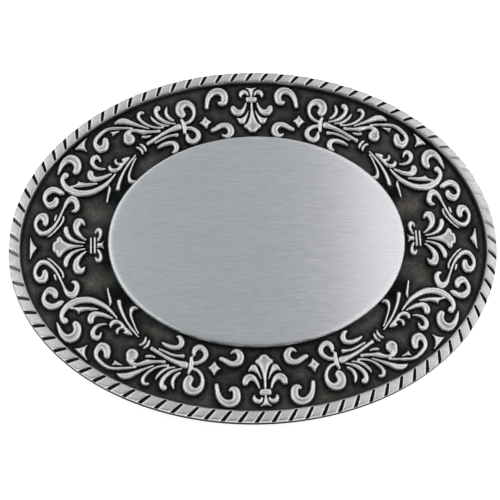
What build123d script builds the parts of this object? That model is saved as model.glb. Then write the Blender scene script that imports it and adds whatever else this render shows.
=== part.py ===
from build123d import *
import os
from math import cos, sin, tan, pi, radians, hypot, sqrt, atan2, degrees

# A western belt buckle lying face up. X runs along its length, Y across it, Z out of the face.
# The face is curved along X only, so every layer of it is a slice of a cylinder about a line along Y.

# Overall
length = 95.0
width = 70.1
face_radius = 413.0
plate_thickness = 1.8
plate_back_round = 1.5
back_height = 9.0
face_height = back_height + plate_thickness

# Rope edge
rope_outer = (47.35, 34.9)
rope_inner = (45.15, 32.6)
rope_rise = 1.65
rope_round = 0.3
rope_strands = 83
rope_first_slit = 0.86
rope_slit = (2.1, 0.42)
rope_slit_depth = 0.5
rope_slant = 36.0

# Centre medallion
medallion = (28.55, 20.9)
medallion_rise = 1.9
medallion_round = 0.5

# Relief ornament
relief_rise = 0.9
cap_bulge = 0.6

# Bail: a bent wire loop that turns in a tube across the back
bail_x = -16.0
bail_tube_radius = 2.5
bail_tube_bore = 1.55
bail_tube_length = 38.0
bail_wire_radius = 1.5
bail_reach = 16.0
bail_half_width = 21.0
bail_inner_end = 8.0
bail_bend = 1.8
bail_corner = 4.0
bail_droop = degrees(atan2(bail_tube_radius - bail_wire_radius, bail_reach))
saddle_size = (4.4, 6.0)
saddle_y = 12.0

# Hook that goes through a belt hole
hook_x = 29.0
hook_radius = 2.0
hook_lean = 12.0
hook_shoulder_radius = 3.2
hook_shoulder = 1.0
hook_pad = (5.4, 4.4)
hook_pad_thickness = 0.8


def band(low, high):
    """The space between two heights above the curved face, over the whole buckle."""
    centre = face_height - face_radius
    half = length / 2 + 4.5

    def arc(rise):
        radius = face_radius + rise
        end = centre + sqrt(radius**2 - half**2)
        return ThreePointArc((-half, end), (0, centre + radius), (half, end))

    top = arc(high)
    bottom = arc(low)
    left = Line(top @ 0, bottom @ 0)
    right = Line(top @ 1, bottom @ 1)
    section = Plane.XZ * make_face([top, right, bottom, left])
    return extrude(section, amount=40, both=True)


def oval(semi_x, semi_y):
    """An upright oval column through the whole buckle."""
    return extrude(Ellipse(semi_x, semi_y), amount=30, both=True)


def upright(edges):
    """A column over a closed outline, tall enough for the curved face."""
    return Pos(0, 0, face_height - 5) * extrude(Face(Wire(edges)), amount=8, dir=(0, 0, 1))


def stroke(*stations):
    """A scroll drawn as stations of (x, y, full width) along its middle, with rounded ends."""
    spine = Spline([(x, y) for x, y, w in stations])
    left = []
    right = []
    for x, y, w in stations:
        along = spine.tangent_at(spine.param_at_point((x, y)))
        side = Vector(-along.Y, along.X) * (w / 2)
        left.append(Vector(x, y) + side)
        right.append(Vector(x, y) - side)
    start = Vector(*stations[0][:2]) - (spine % 0) * (stations[0][2] / 2 * cap_bulge)
    end = Vector(*stations[-1][:2]) + (spine % 1) * (stations[-1][2] / 2 * cap_bulge)
    return upright([
        Spline(left),
        ThreePointArc(left[-1], end, right[-1]),
        Spline(right[::-1]),
        ThreePointArc(right[0], start, left[0]),
    ])


def leaf(*sides):
    """A shape whose sides are smooth curves that meet at corners."""
    edges = []
    for side in sides:
        edges.append(Line(*side) if len(side) == 2 else Spline(list(side)))
    return upright(edges)


def bulb(x, y, radius):
    """A round end of a scroll."""
    return Pos(x, y, face_height - 5) * Cylinder(radius, 8, align=(Align.CENTER, Align.CENTER, Align.MIN))


def mirrored(points):
    """The same side on the other side of the X axis, run the other way."""
    return [(x, -y) for x, y in reversed(points)]


def swapped(points):
    """The same side on the other side of the Y axis, run the other way."""
    return [(-x, y) for x, y in reversed(points)]


def hook_pair():
    rim_hook = stroke(
        (8.95, 27.5, .7), (8.88, 28.3, .8), (8.72, 29.3, .95), (8.35, 30.15, 1.15), (7.65, 30.85, 1.35),
        (6.75, 31.12, 1.5), (5.85, 30.85, 1.55), (5.38, 30.2, 1.5), (5.33, 29.4, 1.42), (5.55, 28.72, 1.4),
        (6.05, 28.48, 1.1), (6.6, 28.78, .4))
    field_hook = stroke(
        (8.1, 22.72, .75), (7.45, 22.97, .92), (6.6, 23.55, 1.05), (5.7, 23.82, 1.1), (4.85, 23.55, 1.3),
        (4.32, 22.75, 1.3), (4.5, 21.9, 1.28), (5.1, 21.42, 1.0), (5.75, 21.55, .6), (6.1, 21.95, .2))
    diamond = leaf(
        [(9.35, 25.85), (9.85, 24.95), (10.5, 24.35)],
        [(10.5, 24.35), (9.7, 23.8), (9.1, 23.1)],
        [(9.1, 23.1), (8.75, 23.9), (8.1, 24.6)],
        [(8.1, 24.6), (8.85, 25.1), (9.35, 25.85)])
    return [rim_hook, field_hook, diamond]


def knot():
    upper_loop = stroke(
        (13.1, 24.45, .45), (12.5, 24.68, .6), (11.95, 25.2, .65), (11.55, 26.0, .65), (11.47, 26.9, .75),
        (11.77, 27.85, .95), (12.4, 28.48, 1.2), (13.2, 28.62, 1.5), (14.0, 28.25, 1.75),
        (14.35, 27.35, 1.65), (14.05, 26.55, 1.65), (13.6, 26.15, 1.4))
    lower_loop = stroke(
        (12.95, 23.38, .62), (12.1, 23.3, .72), (11.28, 22.85, .85), (10.72, 22.0, .98), (10.98, 20.98, 1.05),
        (11.85, 20.42, 1.1), (12.65, 20.8, 1.0), (12.93, 21.45, .8), (12.85, 22.0, .4))
    tie = stroke(
        (14.12, 25.2, .5), (13.75, 24.65, .75), (13.52, 23.9, .88), (13.43, 23.0, .78), (13.43, 22.25, .65))
    return [upper_loop, lower_loop, tie]


def trumpet():
    stem = stroke(
        (14.45, 23.68, 1.35), (15.4, 23.38, 1.0), (16.5, 22.92, .75), (17.6, 22.35, .62), (18.8, 21.6, .6),
        (19.8, 20.9, .65), (20.72, 20.28, .8))
    under_leaf = stroke(
        (14.85, 21.95, .8), (15.6, 21.92, .5), (16.6, 21.75, .45), (17.7, 21.3, .4), (18.6, 20.8, .35),
        (19.3, 20.45, .3))
    under_hook = stroke(
        (18.72, 19.3, .42), (17.9, 19.85, .75), (17.0, 20.2, .85), (16.1, 20.32, .9), (15.35, 20.02, 1.02),
        (15.07, 19.35, 1.05), (15.25, 18.7, .95), (15.7, 18.32, .7), (16.0, 18.3, .35))
    outer_bracket = stroke((22.15, 20.22, .4), (21.6, 19.85, .5), (21.25, 19.35, .5), (21.1, 18.75, .35))
    inner_bracket = stroke((22.85, 19.58, .45), (22.2, 19.25, .5), (21.85, 18.75, .5), (21.72, 18.15, .35))
    return [stem, under_leaf, under_hook, outer_bracket, inner_bracket]


def fan():
    first = stroke(
        (15.52, 25.05, .35), (16.2, 25.45, .62), (16.75, 26.05, .68), (17.0, 26.75, .65), (16.95, 27.5, .48),
        (16.82, 28.0, .2))
    second = stroke(
        (15.2, 24.38, .2), (16.3, 24.52, .42), (17.4, 24.95, .62), (18.25, 25.6, .75), (18.85, 26.4, .82),
        (19.03, 27.15, .86), (18.85, 27.7, .9))
    third = stroke(
        (16.5, 24.0, .2), (17.5, 24.08, .36), (18.5, 24.46, .5), (19.3, 25.05, .5), (19.87, 25.7, .38),
        (20.1, 26.15, .15))
    fourth = stroke(
        (17.65, 23.62, .35), (18.8, 23.65, .32), (20.05, 23.95, .4), (21.1, 24.52, .48), (21.95, 25.22, .6),
        (22.42, 26.0, .75), (22.3, 26.7, .75), (21.85, 26.95, .65), (21.45, 26.75, .45))
    broad_leaf = stroke(
        (20.3, 23.48, .15), (21.5, 23.88, .32), (22.6, 24.28, .55), (23.6, 24.7, .82), (24.6, 25.1, 1.1),
        (25.5, 25.3, 1.2), (26.4, 25.15, .95), (27.1, 24.75, .25))
    return [first, second, bulb(18.62, 27.72, .58), third, fourth, broad_leaf]


def vine():
    long_vine = stroke(
        (23.6, 23.72, .2), (25.0, 23.76, .4), (26.5, 23.78, .52), (28.0, 23.75, .62), (29.2, 23.25, .72),
        (30.15, 22.45, .78), (30.8, 21.6, .8), (30.95, 20.85, .85), (30.6, 20.0, 1.1), (29.95, 19.5, 1.4),
        (29.15, 19.85, 1.5), (28.9, 20.8, 1.3), (29.02, 21.58, 1.05))
    thorn = leaf(
        [(26.1, 23.25), (27.1, 23.1), (28.15, 23.1)],
        [(28.15, 23.1), (27.75, 22.75), (27.55, 22.15)],
        [(27.55, 22.15), (26.95, 22.6), (26.1, 23.25)])
    short_vine = stroke(
        (18.28, 22.95, .6), (19.5, 22.8, .5), (20.7, 22.8, .62), (21.8, 22.85, .9), (22.6, 23.08, .7),
        (23.4, 23.2, .6), (24.2, 23.0, .75), (24.75, 22.5, 1.0), (24.8, 21.9, 1.2))
    pad = stroke((20.05, 22.05, .2), (20.7, 21.78, .42), (21.3, 21.72, .5), (21.8, 21.8, .45))
    return [long_vine, thorn, short_vine, bulb(24.3, 21.35, 1.15), pad]


def reeds():
    long_reed = stroke(
        (23.1, 18.05, .2), (23.8, 17.15, .33), (24.58, 16.1, .38), (25.33, 14.85, .45), (25.95, 13.5, .58),
        (26.37, 12.3, .72), (26.62, 10.98, .82))
    short_reed = stroke(
        (23.05, 17.4, .2), (23.48, 16.6, .28), (23.95, 15.4, .33), (24.35, 14.2, .45), (24.42, 13.4, .6),
        (24.15, 12.65, .85), (23.68, 12.48, .72), (23.2, 12.78, .3))
    spike = stroke(
        (28.3, 11.85, .15), (28.2, 11.1, .58), (28.4, 10.1, .5), (28.6, 9.2, .38), (28.72, 8.5, .25))
    lobed_leaf = stroke(
        (24.3, 17.65, .2), (25.0, 16.95, .65), (25.6, 16.3, .6), (26.1, 15.65, .6), (26.7, 15.12, .7),
        (27.45, 15.0, .8), (28.05, 15.35, .75), (28.15, 15.95, .45))
    middle_lobe = stroke(
        (25.7, 16.3, .4), (26.2, 16.25, .45), (26.75, 16.4, .6), (27.02, 16.85, .58), (26.9, 17.3, .3))
    top_lobe = stroke((24.6, 17.5, .3), (25.0, 17.35, .55), (25.4, 17.2, .55), (25.75, 17.1, .3))
    tongue_leaf = stroke(
        (27.85, 14.3, .3), (28.6, 14.0, .55), (29.5, 13.6, .75), (30.4, 13.4, .9), (31.2, 13.42, 1.12),
        (31.75, 13.85, 1.3), (31.9, 14.45, 1.22), (31.75, 14.85, 1.1))
    ring_hook = stroke(
        (28.95, 15.38, .2), (29.8, 15.4, .5), (30.7, 15.7, .65), (31.35, 16.3, .8), (31.55, 17.1, .92),
        (31.15, 17.8, .98), (30.55, 17.9, .85), (30.15, 17.5, .5), (30.0, 16.9, .25))
    return [long_reed, short_reed, spike, lobed_leaf, middle_lobe, top_lobe, tongue_leaf, ring_hook]


def sweep_scroll():
    sweep = stroke(
        (27.0, 14.35, .2), (28.0, 13.1, .55), (29.1, 12.05, .8), (30.3, 11.28, .98), (31.6, 10.72, 1.12),
        (33.0, 10.55, 1.2), (34.4, 10.7, 1.25), (35.5, 11.15, 1.25), (36.5, 11.9, 1.1), (37.15, 12.8, .95),
        (37.3, 13.6, .85), (37.0, 14.3, .85))
    thorn = leaf(
        [(30.4, 12.45), (31.6, 12.6), (33.3, 12.75), (34.2, 13.15)],
        [(34.2, 13.15), (34.6, 12.5), (35.3, 12.25), (36.1, 12.0)],
        [(36.1, 12.0), (35.2, 11.92), (34.2, 11.88), (32.0, 12.0), (30.4, 12.45)])
    return [sweep, thorn, bulb(36.68, 14.38, .63)]


def corner_scroll():
    corner_hook = stroke(
        (38.15, 14.65, .25), (37.8, 15.7, .72), (37.42, 16.55, .98), (36.85, 17.3, 1.25), (35.85, 17.78, 1.7),
        (34.85, 17.38, 1.75), (34.35, 16.3, 1.55), (34.5, 15.4, 1.42), (34.95, 15.0, 1.15))
    side_curl = stroke(
        (37.0, 10.72, .5), (37.55, 10.92, .95), (38.3, 11.4, 1.12), (39.2, 11.6, 1.28), (40.15, 11.1, 1.2),
        (40.72, 10.1, .85), (40.45, 9.05, .85), (39.65, 8.4, 1.35), (38.85, 8.7, 1.42), (38.48, 9.3, 1.2),
        (38.55, 9.72, 1.0))
    corner_triangle = leaf(
        [(32.5, 22.05), (33.75, 21.0), (34.95, 19.65)],
        [(34.95, 19.65), (33.7, 19.6), (32.5, 19.1)],
        [(32.5, 19.1), (32.95, 20.5), (32.5, 22.05)])
    return [corner_hook, side_curl, corner_triangle]


def side_scroll():
    s_scroll = stroke(
        (35.4, 7.05, .45), (34.85, 7.1, .8), (34.45, 7.65, .98), (34.5, 8.45, 1.08), (34.85, 9.2, 1.2),
        (35.45, 9.5, 1.28), (36.1, 9.2, 1.0), (36.65, 8.45, .65), (37.1, 7.4, .45), (37.55, 6.4, .42),
        (38.0, 5.4, .45), (38.65, 4.4, .55), (39.5, 3.5, .7), (40.5, 2.86, .92), (41.4, 2.95, .92),
        (42.08, 3.7, .78), (42.4, 4.7, .72), (42.15, 5.65, .85), (41.5, 6.25, 1.25), (40.8, 6.2, 1.55),
        (40.45, 5.4, 1.3), (40.62, 4.62, .98))
    side_line = stroke(
        (37.05, 6.1, .3), (37.08, 5.4, .38), (37.4, 4.7, .35), (38.0, 3.9, .32), (38.7, 3.15, .32),
        (39.4, 2.5, .3), (40.0, 2.1, .2))
    dash = stroke((38.35, 6.5, .2), (38.5, 6.1, .35), (38.62, 5.7, .35), (38.7, 5.3, .2))
    return [s_scroll, side_line, dash]


def palmette():
    """Three-petalled flower at the end of the buckle, mirrored about the X axis."""
    petal = stroke(
        (32.95, .62, .25), (34.0, .78, .35), (34.95, 1.12, .58), (35.8, 1.7, .78), (36.35, 2.5, .95),
        (36.58, 3.3, .95), (36.45, 3.85, .65))
    outer_petal = stroke(
        (32.7, 1.12, .25), (33.5, 1.7, .55), (34.1, 2.35, .85), (34.58, 3.2, 1.1), (34.58, 4.05, 1.35),
        (34.25, 4.75, 1.5), (33.7, 4.92, 1.15), (33.3, 4.6, .75), (33.02, 4.1, .25))
    foot_curl = stroke(
        (30.55, .85, .35), (30.15, 1.5, .6), (29.95, 2.2, .7), (30.02, 2.8, .85), (30.4, 3.08, .85),
        (30.78, 2.8, .5), (30.9, 2.4, .3))
    inner_bar = stroke((31.08, -1.55, .38), (31.08, 0, .4), (31.08, 1.55, .38))
    outer_bar = stroke((31.82, -1.55, .38), (31.82, 0, .4), (31.82, 1.55, .38))
    flare = [(33.3, .08), (34.5, .22), (35.5, .42), (36.3, .7), (36.9, 1.1), (37.35, 1.7), (37.8, 2.1),
             (38.2, 1.85), (38.35, 1.1)]
    tip = [(38.35, 1.1), (38.9, .95), (39.12, 0), (38.9, -.95), (38.35, -1.1)]
    centre = leaf([(33.3, -.08), (33.3, .08)], flare, tip, mirrored(flare))
    tail_side = [(30.65, .5), (30.0, .42), (29.2, .95)]
    tail_notch = [(29.2, .95), (29.5, 0), (29.2, -.95)]
    tail = leaf(tail_side, tail_notch, mirrored(tail_side), [(30.65, -.5), (30.65, .5)])
    halves = [petal, outer_petal, foot_curl]
    return halves + [mirror(half, about=Plane.XZ) for half in halves] + [inner_bar, outer_bar, centre, tail]


def side_triangle():
    return [leaf(
        [(42.05, 0), (42.8, 1.05), (43.35, 2.3)],
        [(43.35, 2.3), (43.42, 0), (43.35, -2.3)],
        [(43.35, -2.3), (42.8, -1.05), (42.05, 0)])]


def fleur():
    """Five-petalled flower between the medallion and the rope, mirrored about the Y axis."""
    bell_side = [(.2, 28.45), (.25, 27.0), (.4, 25.8), (.72, 24.8), (1.15, 24.05), (1.65, 23.8)]
    bell_lobe = [(1.65, 23.8), (1.6, 23.3), (1.1, 22.95)]
    bell_tip = [(1.1, 22.95), (.85, 22.6), (.5, 22.25), (0, 22.15), (-.5, 22.25), (-.85, 22.6), (-1.1, 22.95)]
    bell_top = [(-.2, 28.45), (.2, 28.45)]
    bell = leaf(bell_side, bell_lobe, bell_tip, swapped(bell_lobe), swapped(bell_side), bell_top)
    petal = leaf(
        [(.65, 27.0), (.85, 26.0), (1.2, 24.95), (1.75, 24.1), (2.3, 24.05), (2.75, 24.6), (3.1, 25.4)],
        [(3.1, 25.4), (2.3, 25.2), (1.5, 25.65), (.95, 26.35), (.65, 27.0)])
    outer_petal = stroke(
        (1.12, 28.45, .3), (1.28, 27.9, .45), (1.68, 27.1, .75), (2.3, 26.5, 1.15), (3.0, 26.48, 1.4),
        (3.52, 26.95, 1.28), (3.64, 27.6, 1.05))
    collar_end = [(1.0, 29.7), (1.1, 29.3), (.85, 28.7)]
    collar = leaf(
        [(-1.0, 29.7), (0, 29.8), (1.0, 29.7)],
        collar_end,
        [(.85, 28.7), (0, 28.6), (-.85, 28.7)],
        swapped(collar_end))
    foot_curl = stroke(
        (.72, 30.2, .35), (.95, 30.72, .62), (1.42, 30.9, .92), (1.95, 30.65, .88), (2.13, 30.1, .58),
        (2.02, 29.75, .25))
    spike_side = [(.18, 29.95), (.3, 30.65), (.55, 31.3), (1.1, 31.8)]
    spike_end = [(1.1, 31.8), (0, 31.7), (-1.1, 31.8)]
    spike = leaf(spike_side, spike_end, swapped(spike_side), [(-.18, 29.95), (.18, 29.95)])
    halves = [petal, outer_petal, foot_curl]
    return halves + [mirror(half, about=Plane.YZ) for half in halves] + [bell, collar, spike]


def relief(columns):
    """Ornament of one height, standing on the curved face, from the columns over its outlines."""
    layer = band(0, relief_rise)
    whole = Part() + [column & layer for column in columns]
    return Compound(whole.solids())


def base_plate():
    """The curved oval plate that everything is soldered to."""
    plate = oval(length / 2, width / 2) & band(-plate_thickness, 0)
    back = plate.faces().sort_by(SortBy.AREA)[-2:].sort_by(Axis.Z)[0]
    return fillet(back.edges(), plate_back_round)


def rope_edge():
    """Twisted rope border: a rounded bead with slanted slits between its strands."""
    bead = (oval(*rope_outer) - oval(*rope_inner)) & band(0, rope_rise)
    top = bead.faces().sort_by(Axis.Z)[-1]
    bead = fillet(top.edges(), rope_round)
    return bead - slits()


def rope_place(share):
    """Middle of the rope at a share of its length round, with the rope's outward direction."""
    semi_x = (rope_outer[0] + rope_inner[0]) / 2
    semi_y = (rope_outer[1] + rope_inner[1]) / 2
    steps = 3600
    total = 0.0
    lengths = [0.0]
    for i in range(steps):
        a = 2 * pi * (i + 0.5) / steps
        total += hypot(semi_x * sin(a), semi_y * cos(a)) * 2 * pi / steps
        lengths.append(total)
    wanted = share * total
    i = 0
    while lengths[i + 1] < wanted:
        i += 1
    a = 2 * pi * (i + (wanted - lengths[i]) / (lengths[i + 1] - lengths[i])) / steps
    outward = degrees(atan2(semi_x * sin(a), semi_y * cos(a)))
    return semi_x * cos(a), semi_y * sin(a), outward


def slits():
    """One thin slanted cutter for each gap between the rope's strands."""
    cutters = Part()
    for i in range(rope_strands):
        x, y, outward = rope_place((i + rope_first_slit) / rope_strands)
        ground = face_height - x**2 / (2 * face_radius)
        cutter = Box(*rope_slit, 2.0, align=(Align.CENTER, Align.CENTER, Align.MIN))
        cutters += Pos(x, y, ground + rope_rise - rope_slit_depth) * Rot(0, 0, outward - rope_slant) * cutter
    return cutters


def centre_medallion():
    """Raised smooth oval in the middle of the face."""
    disc = oval(*medallion) & band(0, medallion_rise)
    top = disc.faces().sort_by(Axis.Z)[-1]
    return fillet(top.edges(), medallion_round)


def bail_tube():
    """The hinge tube across the back, standing on the table when the buckle lies face up."""
    tube = Cylinder(bail_tube_radius, bail_tube_length) - Cylinder(bail_tube_bore, bail_tube_length)
    return Pos(bail_x, 0, bail_tube_radius) * Rot(90, 0, 0) * tube


def bail_saddles():
    """Two feet that hold the hinge tube off the back."""
    feet = Part()
    for y in (-saddle_y, saddle_y):
        foot = Box(*saddle_size, back_height, align=(Align.CENTER, Align.CENTER, Align.MIN))
        feet += Pos(bail_x, y, bail_tube_radius) * foot
    feet -= Pos(bail_x, 0, bail_tube_radius) * Rot(90, 0, 0) * Cylinder(bail_tube_radius, bail_tube_length)
    return feet & band(-face_height, -plate_thickness)


def bail_wire():
    """Round wire bent to a loop for the belt, its two ends turned into the hinge tube."""
    corners = [
        (0, -bail_inner_end),
        (0, -bail_half_width),
        (-bail_reach, -bail_half_width),
        (-bail_reach, bail_half_width),
        (0, bail_half_width),
        (0, bail_inner_end),
    ]
    path = FilletPolyline(*corners, radius=[bail_bend, bail_corner, bail_corner, bail_bend])
    section = Plane(origin=path @ 0, z_dir=path % 0) * Circle(bail_wire_radius)
    wire = sweep(section, path=path)
    return Pos(bail_x, 0, bail_tube_radius) * Rot(0, -bail_droop, 0) * wire


def hook_base():
    """Oval pad under the hook."""
    pad = Pos(hook_x, 0, 0) * extrude(Ellipse(*hook_pad), amount=face_height)
    return pad & band(-plate_thickness - hook_pad_thickness, -plate_thickness)


def hook_post():
    """Round-ended peg on a shoulder, leaning towards the bail so that the pull of the belt seats it."""
    pad_face = back_height - hook_x**2 / (2 * face_radius) - hook_pad_thickness
    lean = radians(hook_lean)
    wall = (pad_face - hook_radius) / cos(lean) - hook_shoulder
    tip = (hook_x - (pad_face - hook_radius) * tan(lean), 0, hook_radius)
    peg = Sphere(hook_radius) + Cylinder(hook_radius, wall, align=(Align.CENTER, Align.CENTER, Align.MIN))
    shoulder = Cylinder(hook_shoulder_radius, 4, align=(Align.CENTER, Align.CENTER, Align.MIN))
    post = Pos(*tip) * Rot(0, hook_lean, 0) * (peg + Pos(0, 0, wall) * shoulder)
    print("hook tip centre", tip, "wall", round(wall, 4))
    return post & band(-face_height - hook_radius, -plate_thickness - hook_pad_thickness)


def save(name, shape):
    solids = shape.solids()
    export_step(Compound(solids), f"parts/{name}.step")
    volume = sum(solid.volume for solid in solids)
    print(name, len(solids), round(volume, 2), all(solid.is_valid for solid in solids))
    return volume


os.makedirs("parts", exist_ok=True)
volume = 0
for make in (base_plate, rope_edge, centre_medallion, bail_tube, bail_saddles, bail_wire, hook_base, hook_post):
    volume += save(make.__name__, make())

for make in (hook_pair, knot, trumpet, fan, vine, reeds, sweep_scroll, corner_scroll, side_scroll):
    right = relief(make())
    left = mirror(right, about=Plane.YZ)
    for side, ornament in {"right": right, "left": left}.items():
        volume += save(f"{make.__name__}_upper_{side}", ornament)
        volume += save(f"{make.__name__}_lower_{side}", mirror(ornament, about=Plane.XZ))

for make in (palmette, side_triangle):
    right = relief(make())
    volume += save(make.__name__ + "_right", right)
    volume += save(make.__name__ + "_left", mirror(right, about=Plane.YZ))

upper = relief(fleur())
volume += save("fleur_upper", upper)
volume += save("fleur_lower", mirror(upper, about=Plane.XZ))

print("total volume mm3", round(volume), "bail droop", round(bail_droop, 3))
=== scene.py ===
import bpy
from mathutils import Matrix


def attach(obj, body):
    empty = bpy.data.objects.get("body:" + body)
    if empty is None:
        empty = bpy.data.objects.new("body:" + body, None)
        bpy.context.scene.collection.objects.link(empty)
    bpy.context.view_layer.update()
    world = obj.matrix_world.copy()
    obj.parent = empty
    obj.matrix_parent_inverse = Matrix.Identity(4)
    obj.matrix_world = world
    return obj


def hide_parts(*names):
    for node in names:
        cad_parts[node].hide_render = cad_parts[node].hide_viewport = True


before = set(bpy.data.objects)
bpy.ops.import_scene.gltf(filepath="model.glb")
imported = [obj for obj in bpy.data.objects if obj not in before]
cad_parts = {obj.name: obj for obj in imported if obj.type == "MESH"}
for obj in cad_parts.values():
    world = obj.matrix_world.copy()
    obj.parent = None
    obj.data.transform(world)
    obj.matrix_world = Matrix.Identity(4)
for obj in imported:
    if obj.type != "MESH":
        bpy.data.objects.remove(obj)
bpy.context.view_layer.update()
import bpy
import bmesh
import math
from mathutils import Matrix, Vector
from mathutils.bvhtree import BVHTree

mm = 0.001
mergeDistance = 0.002 * mm

# the curved face that every layer follows
face = {
    "height": 10.8 * mm,
    "radius": 413.0 * mm,
    "semiX": 47.5 * mm,
    "semiY": 35.05 * mm,
    "core": 4.0 * mm,       # inside this the ovals are plain ellipses
}


def groundAt(x):
    # height of the dark field at a place along the buckle
    return face["height"] - face["radius"] + math.sqrt(face["radius"] ** 2 - x * x)


def smoothStep(low, high, value):
    # eases from 0 at low to 1 at high
    t = min(max((value - low) / (high - low), 0.0), 1.0)
    return t * t * (3 - 2 * t)


def newPiece(name, bm, material, body="buckle"):
    mesh = bpy.data.meshes.new(name)
    bm.to_mesh(mesh)
    bm.free()
    for polygon in mesh.polygons:
        polygon.use_smooth = True
    piece = bpy.data.objects.new(name, mesh)
    bpy.context.scene.collection.objects.link(piece)
    mesh.materials.append(material)
    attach(piece, body)
    return piece


# materials: each has its own function, and these add the nodes that they share
def startMaterial(name):
    material = bpy.data.materials.new(name)
    material.use_nodes = True
    nodes = material.node_tree.nodes
    shader = nodes["Principled BSDF"]
    return material, nodes, material.node_tree.links, shader


def addNoise(nodes, links, scale, detail, stretch=(1, 1, 1)):
    coords = nodes.new("ShaderNodeTexCoord")
    mapping = nodes.new("ShaderNodeMapping")
    mapping.inputs["Scale"].default_value = stretch
    texture = nodes.new("ShaderNodeTexNoise")
    texture.inputs["Scale"].default_value = scale
    texture.inputs["Detail"].default_value = detail
    texture.inputs["Roughness"].default_value = 0.6
    links.new(coords.outputs["Object"], mapping.inputs["Vector"])
    links.new(mapping.outputs["Vector"], texture.inputs["Vector"])
    return texture.outputs["Fac"]


def addRamp(nodes, links, source, *stops):
    ramp = nodes.new("ShaderNodeValToRGB")
    while len(ramp.color_ramp.elements) < len(stops):
        ramp.color_ramp.elements.new(0.5)
    for element, (place, value) in zip(ramp.color_ramp.elements, stops):
        element.position = place
        element.color = (*value, 1) if isinstance(value, tuple) else (value, value, value, 1)
    links.new(source, ramp.inputs["Fac"])
    return ramp.outputs["Color"]


def addMix(nodes, links, kind, factor, first, second):
    mix = nodes.new("ShaderNodeMix")
    mix.data_type = "RGBA"
    mix.blend_type = kind
    mix.inputs["Factor"].default_value = factor if isinstance(factor, float) else 1.0
    if not isinstance(factor, float):
        links.new(factor, mix.inputs["Factor"])
    # sockets 6 and 7 are the two colours going in, and 2 is the colour coming out
    for socket, value in ((mix.inputs[6], first), (mix.inputs[7], second)):
        if isinstance(value, tuple):
            socket.default_value = (*value, 1)
        else:
            links.new(value, socket)
    return mix.outputs[2]


def addBump(nodes, links, shader, height, strength, distance):
    bump = nodes.new("ShaderNodeBump")
    bump.inputs["Strength"].default_value = strength
    bump.inputs["Distance"].default_value = distance
    links.new(height, bump.inputs["Height"])
    links.new(bump.outputs["Normal"], shader.inputs["Normal"])


def makePewter(name, attribute, stops):
    # bright rubbed edges with a painted highlight, greyer flats, and dark stain with painted shade low down,
    # from a value kept on the mesh
    material, nodes, links, shader = startMaterial(name)
    wearAndPaintedLight = nodes.new("ShaderNodeAttribute")
    wearAndPaintedLight.attribute_name = attribute
    tone = addRamp(nodes, links, wearAndPaintedLight.outputs["Fac"], *stops)
    blotch = addRamp(nodes, links, addNoise(nodes, links, 420, 3), (0.3, 0.86), (0.7, 1.0))
    grain = addRamp(nodes, links, addNoise(nodes, links, 4200, 2), (0.3, 0.84), (0.7, 1.06))
    colour = addMix(nodes, links, "MULTIPLY", 1.0, tone, blotch)
    links.new(addMix(nodes, links, "MULTIPLY", 1.0, colour, grain), shader.inputs["Base Color"])
    rough = addRamp(nodes, links, addNoise(nodes, links, 1500, 4), (0.3, 0.36), (0.75, 0.54))
    links.new(rough, shader.inputs["Roughness"])
    addBump(nodes, links, shader, addNoise(nodes, links, 2600, 3), 0.12, 0.00004)
    shader.inputs["Metallic"].default_value = 1.0
    return material


def makeField():
    # near-black stain and painted shade, heaviest beside the ornament where the painted shade sits, and
    # rubbed a little browner in the open places
    material, nodes, links, shader = startMaterial("stainAndShadeField")
    near = nodes.new("ShaderNodeAttribute")
    near.attribute_name = "near"
    heavy, dark, rubbed, bare = (0.01, 0.011, 0.011), (0.045, 0.046, 0.043), (0.1, 0.093, 0.083), (0.36,) * 3
    stainAndShade = addRamp(nodes, links, near.outputs["Fac"], (0.0, heavy), (0.2, dark), (0.8, rubbed), (1.0, bare))
    cloud = addRamp(nodes, links, addNoise(nodes, links, 230, 5), (0.32, 0.45), (0.7, 1.25))
    grain = addRamp(nodes, links, addNoise(nodes, links, 1900, 3), (0.3, 0.7), (0.7, 1.25))
    clouded = addRamp(nodes, links, near.outputs["Fac"], (0.8, 1.0), (1.0, 0.2))
    colour = addMix(nodes, links, "MULTIPLY", clouded, stainAndShade, cloud)
    links.new(addMix(nodes, links, "MULTIPLY", 1.0, colour, grain), shader.inputs["Base Color"])
    shader.inputs["Metallic"].default_value = 1.0
    rough = addRamp(nodes, links, addNoise(nodes, links, 900, 4), (0.3, 0.4), (0.7, 0.6))
    links.new(rough, shader.inputs["Roughness"])
    addBump(nodes, links, shader, addNoise(nodes, links, 1400, 5), 0.35, 0.00006)
    return material


def makeBrushed():
    # short hairlines along X, with the gloss drawn out across them
    material, nodes, links, shader = startMaterial("brushedFace")
    hairline = addNoise(nodes, links, 1000, 2, (0.5, 5.2, 1))
    streak = addNoise(nodes, links, 1000, 2, (0.06, 2.2, 1))
    tone = addRamp(nodes, links, hairline, (0.3, (0.568, 0.592, 0.61)), (0.7, (0.733, 0.76, 0.783)))
    band = addRamp(nodes, links, streak, (0.3, 0.94), (0.7, 1.0))
    links.new(addMix(nodes, links, "MULTIPLY", 1.0, tone, band), shader.inputs["Base Color"])
    links.new(addRamp(nodes, links, hairline, (0.3, 0.3), (0.7, 0.4)), shader.inputs["Roughness"])
    shader.inputs["Metallic"].default_value = 1.0
    shader.inputs["Anisotropic"].default_value = 0.9
    across = nodes.new("ShaderNodeTangent")
    across.direction_type = "UV_MAP"
    across.uv_map = "across"
    links.new(across.outputs["Tangent"], shader.inputs["Tangent"])
    addBump(nodes, links, shader, hairline, 0.15, 0.00003)
    return material


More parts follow.
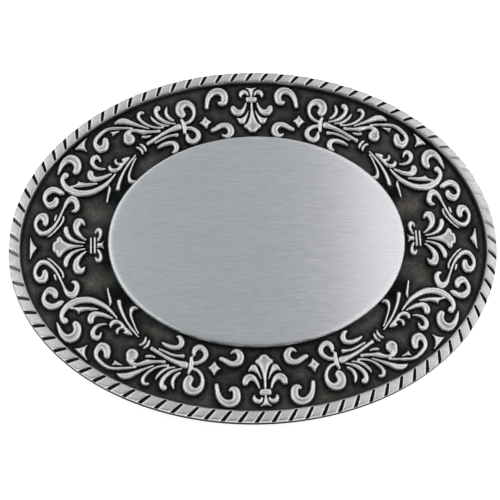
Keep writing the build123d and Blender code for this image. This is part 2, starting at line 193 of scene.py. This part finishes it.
def makeSteel():
    material, nodes, links, shader = startMaterial("platedSteel")
    tone = addRamp(nodes, links, addNoise(nodes, links, 300, 4), (0.3, 0.5), (0.7, 0.6))
    links.new(tone, shader.inputs["Base Color"])
    rough = addRamp(nodes, links, addNoise(nodes, links, 900, 4, (1, 6, 1)), (0.3, 0.22), (0.7, 0.36))
    links.new(rough, shader.inputs["Roughness"])
    shader.inputs["Metallic"].default_value = 1.0
    addBump(nodes, links, shader, addNoise(nodes, links, 1600, 3, (1, 5, 1)), 0.08, 0.00004)
    return material


pewter = {
    # value on the mesh for wear, stain, painted highlight and painted shade, and the grey it gives
    "relief": ((0.0, 0.02), (0.2, 0.22), (0.4, 0.9), (0.55, 0.82), (1.0, 0.44)),
    "rope": ((0.0, 0.015), (0.4, 0.18), (0.75, 0.45), (0.88, 0.6), (1.0, 0.98)),
}
reliefPewter = makePewter("reliefPewter", "wearAndPaintedLight", pewter["relief"])
ropePewter = makePewter("ropePewter", "wearAndPaintedLight", pewter["rope"])
stainAndShadeField = makeField()
brushedFace = makeBrushed()
platedSteel = makeSteel()
print("materials ready")

# relief ornament: one quarter is shaped and mirrored
relief = {
    "rise": 0.9 * mm,
    "voxel": 0.09 * mm,
    "squash": 3.0,          # the walls are remeshed lower than they are, then raised again
    "regain": 0.055 * mm,   # what the remeshing and smoothing take off the outline
    "passes": 2,
    "stainAndShadeHeight": (0.05, 0.6),             # shares of the rise between which the stain and painted shade give way
    "edgeWearAndSheenShare": 0.45,                     # value at the rubbed edge, worn bright and given a painted highlight
    "brightEdge": (0.2 * mm, 0.7 * mm),    # the rubbed edge and its painted highlight end between these distances in
    "shoulder": 0.36 * mm,  # how far in the rounded edge reaches
    "edgeShare": 0.5,       # height of the outline against the middle
    "dish": 0.16,
    "dishReach": 0.55 * mm,
}


def reliefHeight(inside):
    # share of the full height at a distance in from the outline
    shoulder = relief["shoulder"]
    t = min(inside / shoulder, 1.0)
    rise = relief["edgeShare"] + (1 - relief["edgeShare"]) * math.sqrt(1 - (1 - t) ** 2)
    return rise - relief["dish"] * smoothStep(shoulder, shoulder + relief["dishReach"], inside)


def mergedCopy(node):
    bm = bmesh.new()
    bm.from_mesh(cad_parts[node].data)
    bmesh.ops.remove_doubles(bm, verts=bm.verts, dist=mergeDistance)
    return bm


def remeshed(bm, voxel):
    mesh = bpy.data.meshes.new("rough")
    bm.to_mesh(mesh)
    bm.free()
    holder = bpy.data.objects.new("rough", mesh)
    bpy.context.scene.collection.objects.link(holder)
    modifier = holder.modifiers.new("remesh", "REMESH")
    modifier.mode = "VOXEL"
    modifier.voxel_size = voxel
    bpy.context.view_layer.update()
    evaluated = holder.evaluated_get(bpy.context.evaluated_depsgraph_get())
    result = bmesh.new()
    result.from_mesh(evaluated.data)
    bpy.data.objects.remove(holder)
    bpy.data.meshes.remove(mesh)
    return result


def outlineDistance(walls, place):
    # how far in from its outline a place on the ornament is
    probe = Vector((place.x, place.y, groundAt(place.x) + relief["rise"] / 2))
    return walls.find_nearest(probe)[3]


def smoothed(bm, passes, upToo):
    for i in range(passes):
        bmesh.ops.smooth_vert(
            bm, verts=bm.verts, factor=0.5, use_axis_x=True, use_axis_y=True, use_axis_z=upToo)


def reliefMesh(node):
    source = mergedCopy(node)
    upright = source.copy()
    upright.normal_update()
    caps = [f for f in upright.faces if abs(f.normal.z) > 0.5]
    bmesh.ops.delete(upright, geom=caps, context="FACES")
    walls = BVHTree.FromBMesh(upright)
    upright.free()
    for v in source.verts:
        ground = groundAt(v.co.x)
        v.co.z = ground + (v.co.z - ground) / relief["squash"]
    bm = remeshed(source, relief["voxel"])
    smoothed(bm, 1, False)
    bm.normal_update()
    for v in bm.verts:
        v.co += Vector((v.normal.x, v.normal.y, 0)) * relief["regain"]
    for v in bm.verts:
        ground = groundAt(v.co.x)
        share = min(max((v.co.z - ground) * relief["squash"] / relief["rise"], 0.0), 1.0)
        v.co.z = ground + share * relief["rise"] * reliefHeight(outlineDistance(walls, v.co))
    smoothed(bm, relief["passes"], True)
    # dark stain and painted shade low on the walls, rubbed wear with a painted highlight along the outline,
    # grey flats in the middle
    wearAndPaintedLight = bm.verts.layers.float.new("wearAndPaintedLight")
    for v in bm.verts:
        height = (v.co.z - groundAt(v.co.x)) / relief["rise"]
        inside = outlineDistance(walls, v.co)
        edge = relief["edgeWearAndSheenShare"] * smoothStep(*relief["stainAndShadeHeight"], height)
        v[wearAndPaintedLight] = edge + (1 - relief["edgeWearAndSheenShare"]) * smoothStep(*relief["brightEdge"], inside)
    return bm


def mirroredCopy(bm, flipX, flipY):
    copy = bm.copy()
    bmesh.ops.scale(copy, vec=(-1 if flipX else 1, -1 if flipY else 1, 1), verts=copy.verts)
    if flipX != flipY:
        bmesh.ops.reverse_faces(copy, faces=copy.faces)
    return copy


# where each ornament comes again, as flips along X and Y of the first one
quarters = {
    "upper_right": (False, False),
    "upper_left": (True, False),
    "lower_right": (False, True),
    "lower_left": (True, True),
}
ends = {"right": (False, False), "left": (True, False)}
ornaments = {
    "hook_pair": quarters,
    "knot": quarters,
    "trumpet": quarters,
    "fan": quarters,
    "vine": quarters,
    "reeds": quarters,
    "sweep_scroll": quarters,
    "corner_scroll": quarters,
    "side_scroll": quarters,
    "palmette": ends,
    "side_triangle": ends,
    "fleur": {"upper": (False, False), "lower": (False, True)},
}
for name, places in ornaments.items():
    first = list(places)[0]
    bm = reliefMesh(f"{name}_{first}")
    for place, (flipX, flipY) in places.items():
        piece = newPiece(f"{name}_{place}_relief", mirroredCopy(bm, flipX, flipY), reliefPewter)
        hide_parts(f"{name}_{place}")
    print("relief", name, len(bm.faces))
    bm.free()

# rope edge: a grid rolled into a ring, with a slit cut between every two strands
rope = {
    "semiX": 46.25 * mm,
    "semiY": 33.75 * mm,
    "strands": 83,
    "firstSlit": 0.86,
    "slant": math.tan(math.radians(36)),
    "halfWidth": 1.1 * mm,
    "rise": 1.65 * mm,
    "square": 4.6,          # 2 would make the bead a plain ellipse
    "rows": 30,
    "tableSteps": 7200,
    "mergeDistance": 0.004 * mm,            # joins the rolled grid where its edges meet
    "slitDepth": 0.5 * mm,
    "slitHalf": (0.24 * mm, 0.38 * mm),     # bottom and mouth of a slit, from its middle
    "slitWedge": 0.22,                      # how much wider it is towards the rim than on the middle line
    "slitTaper": 0.12,                      # and how much narrower at its inner end
    "innerReach": (0.78 * mm, 0.92 * mm),   # a slit ends between these, towards the field
    "outerReach": (0.98 * mm, 1.1 * mm),    # and between these, towards the rim
    # where the slits are rubbed shallow: direction, share of the slit that is gone, narrowness of the stretch
    "wornEnds": ((math.radians(17), 0.6, 12), (math.radians(184), 0.38, 14)),
    "roundOver": 0.2 * mm,                  # how far a strand drops before its slit begins
    "roundWidth": 0.5 * mm,
    "lipWidth": 0.3 * mm,                   # rubbed bright with a painted highlight beside a slit
    "flatTone": 0.88,                       # value of the strands, short of their bright lips
    "slitStainAndShade": (0.3, 0.85),             # shares of a slit's depth between which it turns dark with stain and painted shade
    "footStainAndShade": (-0.1 * mm, 1.1 * mm),   # heights between which the foot's stain and painted shade give way
    "leanFrom": 0.2 * mm,                   # the strands lean and drop only above the foot
    "dropFrom": 0.5 * mm,
    # first half of a strand, from its slit, as shares of the pitch
    "spacing": (0.0, 0.04, 0.062, 0.08, 0.097, 0.113, 0.13, 0.15, 0.172, 0.2, 0.24, 0.29, 0.38),
}
ropeShares = rope["spacing"] + (0.5,) + tuple(1 - share for share in reversed(rope["spacing"][1:]))


def ropeTable():
    # length along the middle line against the angle that draws it
    steps = rope["tableSteps"]
    lengths = [0.0]
    for i in range(steps):
        a = 2 * math.pi * (i + 0.5) / steps
        step = math.hypot(rope["semiX"] * math.sin(a), rope["semiY"] * math.cos(a)) * 2 * math.pi / steps
        lengths.append(lengths[-1] + step)
    return lengths


def ropePoint(table, along, offset):
    # a place at a distance along the ring, and at an offset from its middle line
    total = table[-1]
    along = along % total
    low, high = 0, len(table) - 1
    while high - low > 1:
        middle = (low + high) // 2
        if table[middle] <= along:
            low = middle
        else:
            high = middle
    a = 2 * math.pi * (low + (along - table[low]) / (table[high] - table[low])) / (len(table) - 1)
    nx = rope["semiY"] * math.cos(a)
    ny = rope["semiX"] * math.sin(a)
    size = math.hypot(nx, ny)
    return rope["semiX"] * math.cos(a) + offset * nx / size, rope["semiY"] * math.sin(a) + offset * ny / size


def ropeSection(j):
    # offset from the middle line and height over the field, going over the crown and back under the foot
    if j == rope["rows"] - 1:
        return 0.0, 0.0
    a = math.pi * (1 - j / (rope["rows"] - 2))
    power = 2 / rope["square"]
    offset = math.copysign(abs(math.cos(a)) ** power, math.cos(a)) * rope["halfWidth"]
    return offset, max(math.sin(a), 0.0) ** power * rope["rise"]


def makeRope():
    table = ropeTable()
    pitch = table[-1] / rope["strands"]
    columns = rope["strands"] * len(ropeShares)
    bm = bmesh.new()
    bmesh.ops.create_grid(bm, x_segments=columns, y_segments=rope["rows"], size=0.5)
    wearAndPaintedLight = bm.verts.layers.float.new("wearAndPaintedLight")
    for v in bm.verts:
        strand, k = divmod(round((v.co.x + 0.5) * columns), len(ropeShares))
        share = ropeShares[k]
        offset, rise = ropeSection(round((v.co.y + 0.5) * rope["rows"]) % rope["rows"])
        reach = 1 - smoothStep(*rope["outerReach" if offset > 0 else "innerReach"], abs(offset))
        outward = offset / rope["halfWidth"]
        wedge = 1 + rope["slitWedge"] * outward - rope["slitTaper"] * min(outward, 0) ** 2
        fromSlit = min(share, 1 - share) * pitch / wedge
        slit = (1 - smoothStep(*rope["slitHalf"], fromSlit)) * reach
        fromMouth = max(fromSlit - rope["slitHalf"][1], 0)
        over = 1 - min(fromMouth / rope["roundWidth"], 1)
        drop = rope["roundOver"] * (1 - math.sqrt(1 - over * over))
        leaning = rope["slant"] * offset * smoothStep(0, rope["leanFrom"], rise)
        x, y = ropePoint(table, (strand + share + rope["firstSlit"]) * pitch - leaning, offset)
        around = math.atan2(y / rope["semiY"], x / rope["semiX"])
        for middle, gone, narrow in rope["wornEnds"]:
            slit *= 1 - gone * max(math.cos(around - middle), 0) ** narrow
        height = rise - drop * reach * smoothStep(0, rope["dropFrom"], rise) - rope["slitDepth"] * slit
        v.co = Vector((x, y, groundAt(x) + height))
        # the slits and the foot are darkened with stain and painted shade, and the lips beside the slits are
        # lightened with wear and a painted highlight
        lip = max(1 - fromMouth / rope["lipWidth"], 0) * reach
        tone = min(1 - smoothStep(*rope["slitStainAndShade"], slit), smoothStep(*rope["footStainAndShade"], rise))
        v[wearAndPaintedLight] = tone * (rope["flatTone"] + (1 - rope["flatTone"]) * lip)
    bmesh.ops.remove_doubles(bm, verts=bm.verts, dist=rope["mergeDistance"])
    bmesh.ops.recalc_face_normals(bm, faces=bm.faces)
    piece = newPiece("rope_edge_twist", bm, ropePewter)
    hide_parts("rope_edge")


makeRope()
print("rope edge ready")

# centre medallion
medallion = {
    "semiX": 28.55 * mm,
    "semiY": 20.9 * mm,
    "rise": 1.9 * mm,
    "round": 0.5 * mm,
    "sunk": 0.05 * mm,      # its foot stands this far into the plate
    "steps": 360,
    "rings": 30,
}


def spunProfile(profile, steps, closed=False):
    # turned about Z from points of radius and height
    bm = bmesh.new()
    verts = [bm.verts.new((r, 0, z)) for r, z in profile]
    pairs = list(zip(verts, verts[1:])) + ([(verts[-1], verts[0])] if closed else [])
    edges = [bm.edges.new(pair) for pair in pairs]
    line = verts + edges
    turn = 2 * math.pi
    bmesh.ops.spin(bm, geom=line, cent=(0, 0, 0), axis=(0, 0, 1), angle=turn, steps=steps, use_merge=True)
    bmesh.ops.remove_doubles(bm, verts=bm.verts, dist=mergeDistance)
    bmesh.ops.recalc_face_normals(bm, faces=bm.faces)
    return bm


def ovalSpin(profile, steps, semiX, semiY):
    # stretched to an oval that keeps the profile's own widths, then laid on the curved face
    bm = spunProfile(profile, steps)
    for v in bm.verts:
        r = max(math.hypot(v.co.x, v.co.y), face["core"])
        v.co.x *= (semiX - semiY + r) / r
        v.co.z += groundAt(v.co.x) - face["height"]
    return bm


def makeMedallion():
    top = face["height"] + medallion["rise"]
    turn = medallion["round"]
    inner = medallion["semiY"] - turn
    profile = [(inner * i / medallion["rings"], top) for i in range(medallion["rings"] + 1)]
    for i in range(1, 7):
        a = math.radians(15 * i)
        profile.append((inner + turn * math.sin(a), top - turn * (1 - math.cos(a))))
    foot = face["height"] - medallion["sunk"]
    profile += [(medallion["semiY"], foot), (inner, foot), (inner / 2, foot), (0, foot)]
    bm = ovalSpin(profile, medallion["steps"], medallion["semiX"], medallion["semiY"])
    # its U runs across the hairlines
    uvMap = bm.loops.layers.uv.new("across")
    for f in bm.faces:
        for corner in f.loops:
            corner[uvMap].uv = (corner.vert.co.y / medallion["semiX"], corner.vert.co.x / medallion["semiX"])
    piece = newPiece("centre_medallion_brushed", bm, brushedFace)
    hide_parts("centre_medallion")


makeMedallion()
print("medallion ready")

# dark field and back of the plate
plate = {
    "thickness": 1.8 * mm,
    "backRound": 1.5 * mm,
    "steps": 900,
    # radii of the rings: wide under the medallion, close together where the stain and painted shade show, and
    # wide behind
    "hidden": (0, 8 * mm, 16 * mm, 20.3 * mm),
    "shown": (20.6 * mm, 33.4 * mm),
    "ring": 0.33 * mm,
    "underRope": 34.3 * mm,
    "back": (28 * mm, 20 * mm, 12 * mm, 5 * mm, 0),
    "frontEdge": 0.08 * mm,
    "stainAndShadeReach": 2.6 * mm,     # how far the stain and painted shade spread from the ornament; the rim and back have none
    "ropeRelief": 0.8 * mm,     # and how much weaker it is beside the rope
    "openShare": 0.8,           # near value in the open places; 1 is the rim and back, with no stain or painted shade
    "frontDepth": 0.02 * mm,    # only what lies within this of the front is stained and shaded
}


def nodeTree(names):
    bm = bmesh.new()
    for name in names:
        bm.from_mesh(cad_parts[name].data)
    tree = BVHTree.FromBMesh(bm)
    bm.free()
    return tree


def makePlate():
    top = face["height"]
    bottom = top - plate["thickness"]
    edge = face["semiY"]
    profile = [(r, top) for r in plate["hidden"]]
    r, last = plate["shown"]
    while r < last:
        profile.append((r, top))
        r += plate["ring"]
    profile += [(plate["underRope"], top), (edge - plate["frontEdge"], top), (edge, top - plate["frontEdge"])]
    turn = plate["backRound"]
    for i in range(9):
        a = math.radians(90 * i / 8)
        profile.append((edge - turn + turn * math.cos(a), bottom + turn - turn * math.sin(a)))
    profile += [(r, bottom) for r in plate["back"]]
    bm = ovalSpin(profile, plate["steps"], face["semiX"], face["semiY"])
    plain = ("base_plate", "rope_edge", "bail_tube", "bail_saddles", "bail_wire", "hook_base", "hook_post")
    ornamentTree = nodeTree([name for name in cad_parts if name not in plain])
    ropeTree = nodeTree(["rope_edge"])
    near = bm.verts.layers.float.new("near")
    for v in bm.verts:
        v[near] = 1
        # beside the ornament and the rope the field is darkened with stain and painted shade
        if v.co.z > groundAt(v.co.x) - plate["frontDepth"]:
            fromRope = ropeTree.find_nearest(v.co)[3] + plate["ropeRelief"]
            away = min(ornamentTree.find_nearest(v.co)[3], fromRope)
            v[near] = plate["openShare"] * smoothStep(0, plate["stainAndShadeReach"], away)
    piece = newPiece("base_plate_field", bm, stainAndShadeField)
    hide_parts("base_plate")


makePlate()
print("plate ready")

# hardware behind the plate: the hinged wire bail, and the hook on its pad
hinge = {
    "x": -16.0 * mm,
    "tubeRadius": 2.5 * mm,
    "bore": 1.55 * mm,
    "tubeLength": 38.0 * mm,
    "wireRadius": 1.5 * mm,
    "reach": 16.0 * mm,
    "halfWidth": 21.0 * mm,
    "innerEnd": 8.0 * mm,
    "legBend": 1.8 * mm,
    "cornerBend": 4.0 * mm,
    "segments": 72,
    "wireSegments": 40,
    "bendSteps": 14,
    "softEdge": 0.2 * mm,
}

hook = {
    "x": 29.0 * mm,
    "radius": 2.0 * mm,
    "lean": math.radians(12),
    "shoulderRadius": 3.2 * mm,
    "shoulder": 1.0 * mm,
    "neck": 0.35 * mm,      # fillet between the peg and its shoulder
    "pad": (5.4 * mm, 4.4 * mm),
    "padThickness": 0.8 * mm,
    "sunk": 1.0 * mm,       # the shoulder's top stands this far into the pad and plate
    "segments": 72,
    "softEdge": 0.25 * mm,
}


def easedEdges(bm, radius, sharpest=math.radians(35)):
    bm.normal_update()
    corners = [e for e in bm.edges if e.is_manifold and e.calc_face_angle() > sharpest]
    bmesh.ops.bevel(bm, geom=corners, offset=radius, segments=4, profile=0.5, affect="EDGES", material=-1)


def placed(bm, turn, spot):
    bmesh.ops.transform(bm, matrix=Matrix.Translation(spot) @ turn, verts=bm.verts)


def finishHardware(bm, node, body="buckle"):
    piece = newPiece(node + "_finished", bm, platedSteel, body)
    weighted = piece.modifiers.new("weighted", "WEIGHTED_NORMAL")
    weighted.weight = 100
    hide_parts(node)


def makeTube():
    half = hinge["tubeLength"] / 2
    outer, bore = hinge["tubeRadius"], hinge["bore"]
    section = [(bore, -half), (outer, -half), (outer, half), (bore, half)]
    bm = spunProfile(section, hinge["segments"], closed=True)
    easedEdges(bm, hinge["softEdge"])
    placed(bm, Matrix.Rotation(math.pi / 2, 4, "X"), (hinge["x"], 0, outer))
    finishHardware(bm, "bail_tube")


def bentOn(bm, ring, centre, turn):
    # one bend of the wire, about an upright line
    bend = bmesh.ops.spin(bm, geom=ring, cent=centre, axis=(0, 0, 1), angle=turn, steps=hinge["bendSteps"])
    return bend["geom_last"]


def runOn(bm, ring, move):
    # one straight run of the wire
    run = bmesh.ops.extrude_edge_only(bm, edges=[g for g in ring if isinstance(g, bmesh.types.BMEdge)])
    end = run["geom"]
    bmesh.ops.translate(bm, vec=move, verts=[g for g in end if isinstance(g, bmesh.types.BMVert)])
    return [g for g in end if not isinstance(g, bmesh.types.BMFace)]


def makeWire():
    bm = bmesh.new()
    side, far, leg, corner = hinge["halfWidth"], hinge["reach"], hinge["legBend"], hinge["cornerBend"]
    start = Matrix.Translation((0, -hinge["innerEnd"], 0)) @ Matrix.Rotation(math.pi / 2, 4, "X")
    bmesh.ops.create_circle(bm, segments=hinge["wireSegments"], radius=hinge["wireRadius"], matrix=start)
    ring = bm.verts[:] + bm.edges[:]
    quarter = -math.pi / 2
    ring = runOn(bm, ring, (0, hinge["innerEnd"] + leg - side, 0))
    ring = bentOn(bm, ring, (-leg, leg - side, 0), quarter)
    ring = runOn(bm, ring, (leg + corner - far, 0, 0))
    ring = bentOn(bm, ring, (corner - far, corner - side, 0), quarter)
    ring = runOn(bm, ring, (0, 2 * (side - corner), 0))
    ring = bentOn(bm, ring, (corner - far, side - corner, 0), quarter)
    ring = runOn(bm, ring, (far - leg - corner, 0, 0))
    ring = bentOn(bm, ring, (-leg, side - leg, 0), quarter)
    runOn(bm, ring, (0, hinge["innerEnd"] + leg - side, 0))
    bmesh.ops.holes_fill(bm, edges=[e for e in bm.edges if e.is_boundary])
    bmesh.ops.recalc_face_normals(bm, faces=bm.faces)
    easedEdges(bm, hinge["softEdge"], math.radians(60))
    droop = math.atan2(hinge["tubeRadius"] - hinge["wireRadius"], far)
    placed(bm, Matrix.Rotation(-droop, 4, "Y"), (hinge["x"], 0, hinge["tubeRadius"]))
    finishHardware(bm, "bail_wire", "bail")


def makeSaddles():
    bm = mergedCopy("bail_saddles")
    bmesh.ops.dissolve_limit(bm, angle_limit=math.radians(1), verts=bm.verts, edges=bm.edges)
    easedEdges(bm, hinge["softEdge"])
    finishHardware(bm, "bail_saddles")


def makeHookPad():
    bm = bmesh.new()
    longHalf, wideHalf = hook["pad"]
    bmesh.ops.create_circle(bm, cap_ends=True, segments=hook["segments"], radius=longHalf)
    bmesh.ops.scale(bm, vec=(1, wideHalf / longHalf, 1), verts=bm.verts)
    block = bmesh.ops.extrude_face_region(bm, geom=bm.faces[:])
    low = [g for g in block["geom"] if isinstance(g, bmesh.types.BMVert)]
    bmesh.ops.translate(bm, vec=(0, 0, -hook["padThickness"]), verts=low)
    bmesh.ops.recalc_face_normals(bm, faces=bm.faces)
    easedEdges(bm, hook["softEdge"])
    for v in bm.verts:
        v.co.x += hook["x"]
        v.co.z += groundAt(v.co.x) - plate["thickness"]
    finishHardware(bm, "hook_base")


def makeHookPost():
    radius, neck, lean = hook["radius"], hook["neck"], hook["lean"]
    sag = hook["x"] ** 2 / (2 * face["radius"])
    padFace = face["height"] - plate["thickness"] - sag - hook["padThickness"]
    wall = (padFace - radius) / math.cos(lean) - hook["shoulder"]
    profile = []
    for i in range(13):
        a = math.radians(7.5 * i)
        profile.append((radius * math.sin(a), -radius * math.cos(a)))
    for i in range(5):
        a = math.radians(22.5 * i)
        profile.append((radius + neck * (1 - math.cos(a)), wall - neck * (1 - math.sin(a))))
    soft = hook["softEdge"]
    rim = hook["shoulderRadius"] - soft
    for i in range(5):
        a = math.radians(22.5 * i)
        profile.append((rim + soft * math.sin(a), wall + soft * (1 - math.cos(a))))
    top = wall + hook["shoulder"] + hook["sunk"]
    profile += [(hook["shoulderRadius"], top), (0, top)]
    bm = spunProfile(profile, hook["segments"])
    tip = (hook["x"] - (padFace - radius) * math.tan(lean), 0, radius)
    placed(bm, Matrix.Rotation(lean, 4, "Y"), tip)
    finishHardware(bm, "hook_post")


makeTube()
makeWire()
makeSaddles()
makeHookPad()
makeHookPost()
print("hardware ready")

# stage, lights and camera
stage = {
    "floorSize": 2.0,
    "floorTone": 0.9,
    "floorGlow": 0.55,      # keeps the pale floor even round the buckle
    "background": 0.7,
    "sky": ((0.0, 0.28), (0.25, 0.45), (0.5, 0.76), (0.6, 0.88), (0.72, 1.0)),     # dimmer on the near side
}

bm = bmesh.new()
bmesh.ops.create_grid(bm, x_segments=1, y_segments=1, size=stage["floorSize"])
floorMesh = bpy.data.meshes.new("floor")
bm.to_mesh(floorMesh)
bm.free()
floor = bpy.data.objects.new("floor", floorMesh)
bpy.context.scene.collection.objects.link(floor)
floorPaint, nodes, links, shader = startMaterial("paleFloor")
shader.inputs["Base Color"].default_value = (stage["floorTone"],) * 3 + (1,)
shader.inputs["Roughness"].default_value = 0.8
shader.inputs["Emission Color"].default_value = (1, 1, 1, 1)
shader.inputs["Emission Strength"].default_value = stage["floorGlow"]
floorMesh.materials.append(floorPaint)

world = bpy.data.worlds.new("studio")
bpy.context.scene.world = world
world.use_nodes = True
nodes, links = world.node_tree.nodes, world.node_tree.links
direction = nodes.new("ShaderNodeTexCoord")
parts = nodes.new("ShaderNodeSeparateXYZ")
links.new(direction.outputs["Generated"], parts.inputs["Vector"])
along = nodes.new("ShaderNodeMapRange")
along.inputs["From Min"].default_value = -1
links.new(parts.outputs["Y"], along.inputs["Value"])
sky = addRamp(nodes, links, along.outputs["Result"], *stage["sky"])
links.new(sky, nodes["Background"].inputs["Color"])
nodes["Background"].inputs["Strength"].default_value = stage["background"]


def addPanel(name, place, aim, width, height, power, colour=(1, 1, 1)):
    light = bpy.data.lights.new(name, "AREA")
    light.shape = "RECTANGLE"
    light.size = width
    light.size_y = height
    light.energy = power
    light.color = colour
    panel = bpy.data.objects.new(name, light)
    panel.location = place
    panel.rotation_euler = (Vector(aim) - Vector(place)).to_track_quat("-Z", "Y").to_euler()
    bpy.context.scene.collection.objects.link(panel)


addPanel("rightPanel", (0.47, 0.14, 0.6), (0.47, 0.14, 0), 0.55, 1.0, 1.6, (1.0, 0.93, 0.955))
addPanel("leftPanel", (-0.46, 0.14, 0.6), (-0.46, 0.14, 0), 0.5, 1.0, 1.55, (0.92, 0.98, 1.0))
addPanel("rightLow", (0.7, 0.0, 0.3), (0, 0, 0), 0.8, 0.35, 0.9)
addPanel("leftLow", (-0.7, 0.0, 0.3), (0, 0, 0), 0.8, 0.35, 0.75)
addPanel("nearLow", (0.55, -0.45, 0.3), (0, 0, 0), 0.4, 0.25, 0.45)

view = {
    "distance": 205.7 * mm,
    "tilt": -0.29429,
    "swing": 0.07816,
    "roll": 0.04698,
    "lens": 77.44,
    "shift": (-0.01664, -0.02136),
    "target": (0, 0, 11.7 * mm),
}
toCamera = (Matrix.Rotation(view["tilt"], 3, "X") @ Matrix.Rotation(view["swing"], 3, "Y")
            @ Matrix.Rotation(view["roll"], 3, "Z"))
fromCamera = toCamera.transposed()
lens = bpy.data.cameras.new("camera")
lens.lens = view["lens"]
lens.sensor_width = 36
lens.shift_x, lens.shift_y = view["shift"]
lens.clip_start = 0.01
camera = bpy.data.objects.new("camera", lens)
eye = Vector(view["target"]) + fromCamera @ Vector((0, 0, view["distance"]))
camera.matrix_world = Matrix.Translation(eye) @ fromCamera.to_4x4()
bpy.context.scene.collection.objects.link(camera)
bpy.context.scene.camera = camera
bpy.context.scene.view_settings.view_transform = "Standard"
bpy.context.scene.view_settings.look = "None"
